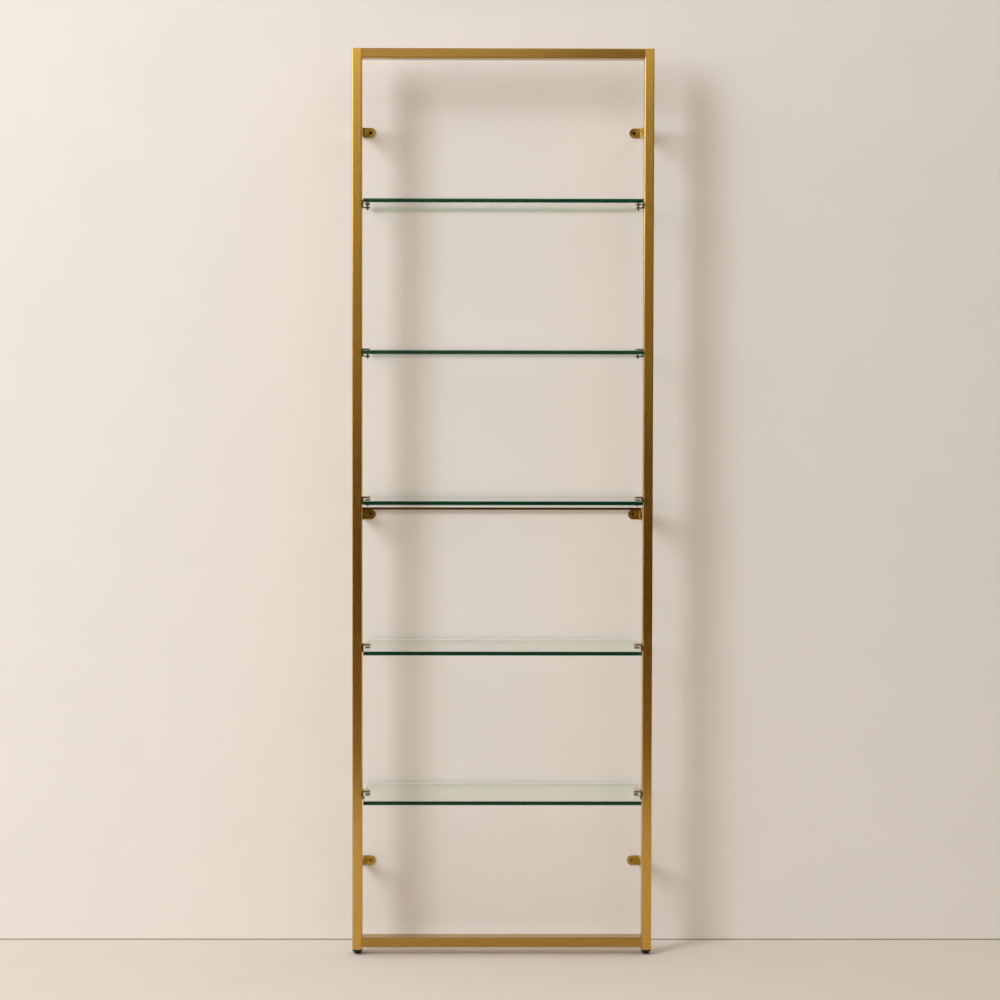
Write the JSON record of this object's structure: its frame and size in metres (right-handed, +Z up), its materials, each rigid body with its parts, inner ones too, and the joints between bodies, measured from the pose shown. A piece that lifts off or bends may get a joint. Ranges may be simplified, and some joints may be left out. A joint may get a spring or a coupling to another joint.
{
  "type": "wall bookshelf",
  "caption": "Tall wall bookshelf: slim brass tube frame on levelling feet, bent brackets to the wall, and clear glass shelves gripped at both ends by bent clamps with pads and set screws.",
  "frame": {"origin": "on the floor under the glides, in the middle of the overall width and of the overall depth", "axes": "+X to the right as seen from the front, +Y towards the wall, +Z up"},
  "size_m": [0.762, 0.3174, 2.3],
  "materials": {
    "satin_brass": "satin, brushed along each tube and strip, lacquered",
    "clear_glass": "clear float glass with polished, slightly green edges",
    "soft_pad": "soft grey, matt",
    "zinc_steel": "zinc plated, dull",
    "black_nylon": "moulded, matt"
  },
  "bodies": {
    "frame": {"upright_left": "satin_brass", "upright_right": "satin_brass", "top_rail": "satin_brass", "bottom_rail": "satin_brass", "upright_left_cap": "satin_brass", "upright_right_cap": "satin_brass", "top_left_wall_bracket": "satin_brass", "top_right_wall_bracket": "satin_brass", "middle_left_wall_bracket": "satin_brass", "middle_right_wall_bracket": "satin_brass", "bottom_left_wall_bracket": "satin_brass", "bottom_right_wall_bracket": "satin_brass", "middle_tie_bar": "satin_brass", "shelf_1_left_clamp": "satin_brass", "shelf_2_left_clamp": "satin_brass", "shelf_3_left_clamp": "satin_brass", "shelf_4_left_clamp": "satin_brass", "shelf_5_left_clamp": "satin_brass", "shelf_1_right_clamp": "satin_brass", "shelf_2_right_clamp": "satin_brass", "shelf_3_right_clamp": "satin_brass", "shelf_4_right_clamp": "satin_brass", "shelf_5_right_clamp": "satin_brass", "shelf_1_pads": "soft_pad", "shelf_2_pads": "soft_pad", "shelf_3_pads": "soft_pad", "shelf_4_pads": "soft_pad", "shelf_5_pads": "soft_pad", "shelf_1_fixing_screws": "zinc_steel", "shelf_2_fixing_screws": "zinc_steel", "shelf_3_fixing_screws": "zinc_steel", "shelf_4_fixing_screws": "zinc_steel", "shelf_5_fixing_screws": "zinc_steel", "shelf_1_rivet_nuts": "zinc_steel", "shelf_2_rivet_nuts": "zinc_steel", "shelf_3_rivet_nuts": "zinc_steel", "shelf_4_rivet_nuts": "zinc_steel", "shelf_5_rivet_nuts": "zinc_steel", "left_foot_plug": "black_nylon", "right_foot_plug": "black_nylon", "left_foot_nut": "zinc_steel", "right_foot_nut": "zinc_steel"},
    "shelf_1": {"shelf_1_glass": "clear_glass"},
    "screws_1": {"shelf_1_set_screws": "zinc_steel"},
    "shelf_2": {"shelf_2_glass": "clear_glass"},
    "screws_2": {"shelf_2_set_screws": "zinc_steel"},
    "shelf_3": {"shelf_3_glass": "clear_glass"},
    "screws_3": {"shelf_3_set_screws": "zinc_steel"},
    "shelf_4": {"shelf_4_glass": "clear_glass"},
    "screws_4": {"shelf_4_set_screws": "zinc_steel"},
    "shelf_5": {"shelf_5_glass": "clear_glass"},
    "screws_5": {"shelf_5_set_screws": "zinc_steel"},
    "left_foot": {"left_levelling_stem": "zinc_steel", "left_levelling_glide": "black_nylon"},
    "right_foot": {"right_levelling_stem": "zinc_steel", "right_levelling_glide": "black_nylon"}
  },
  "joints": [
    {"name": "shelf_1_slides_out", "type": "slide", "parent": "frame", "child": "shelf_1", "axis": [0, -1, 0], "range_m": [0, 0.18]},
    {"name": "shelf_2_slides_out", "type": "slide", "parent": "frame", "child": "shelf_2", "axis": [0, -1, 0], "range_m": [0, 0.18]},
    {"name": "shelf_3_slides_out", "type": "slide", "parent": "frame", "child": "shelf_3", "axis": [0, -1, 0], "range_m": [0, 0.18]},
    {"name": "shelf_4_slides_out", "type": "slide", "parent": "frame", "child": "shelf_4", "axis": [0, -1, 0], "range_m": [0, 0.18]},
    {"name": "shelf_5_slides_out", "type": "slide", "parent": "frame", "child": "shelf_5", "axis": [0, -1, 0], "range_m": [0, 0.18]},
    {"name": "screws_1_back_off", "type": "slide", "parent": "frame", "child": "screws_1", "axis": [0, 0, -1], "range_m": [0, 0.0025]},
    {"name": "screws_2_back_off", "type": "slide", "parent": "frame", "child": "screws_2", "axis": [0, 0, -1], "range_m": [0, 0.0025]},
    {"name": "screws_3_back_off", "type": "slide", "parent": "frame", "child": "screws_3", "axis": [0, 0, -1], "range_m": [0, 0.0025]},
    {"name": "screws_4_back_off", "type": "slide", "parent": "frame", "child": "screws_4", "axis": [0, 0, -1], "range_m": [0, 0.0025]},
    {"name": "screws_5_back_off", "type": "slide", "parent": "frame", "child": "screws_5", "axis": [0, 0, -1], "range_m": [0, 0.0025]},
    {"name": "left_foot_levels", "type": "slide", "parent": "frame", "child": "left_foot", "axis": [0, 0, -1], "range_m": [0, 0.01]},
    {"name": "right_foot_levels", "type": "slide", "parent": "frame", "child": "right_foot", "axis": [0, 0, -1], "range_m": [0, 0.01]}
  ]
}
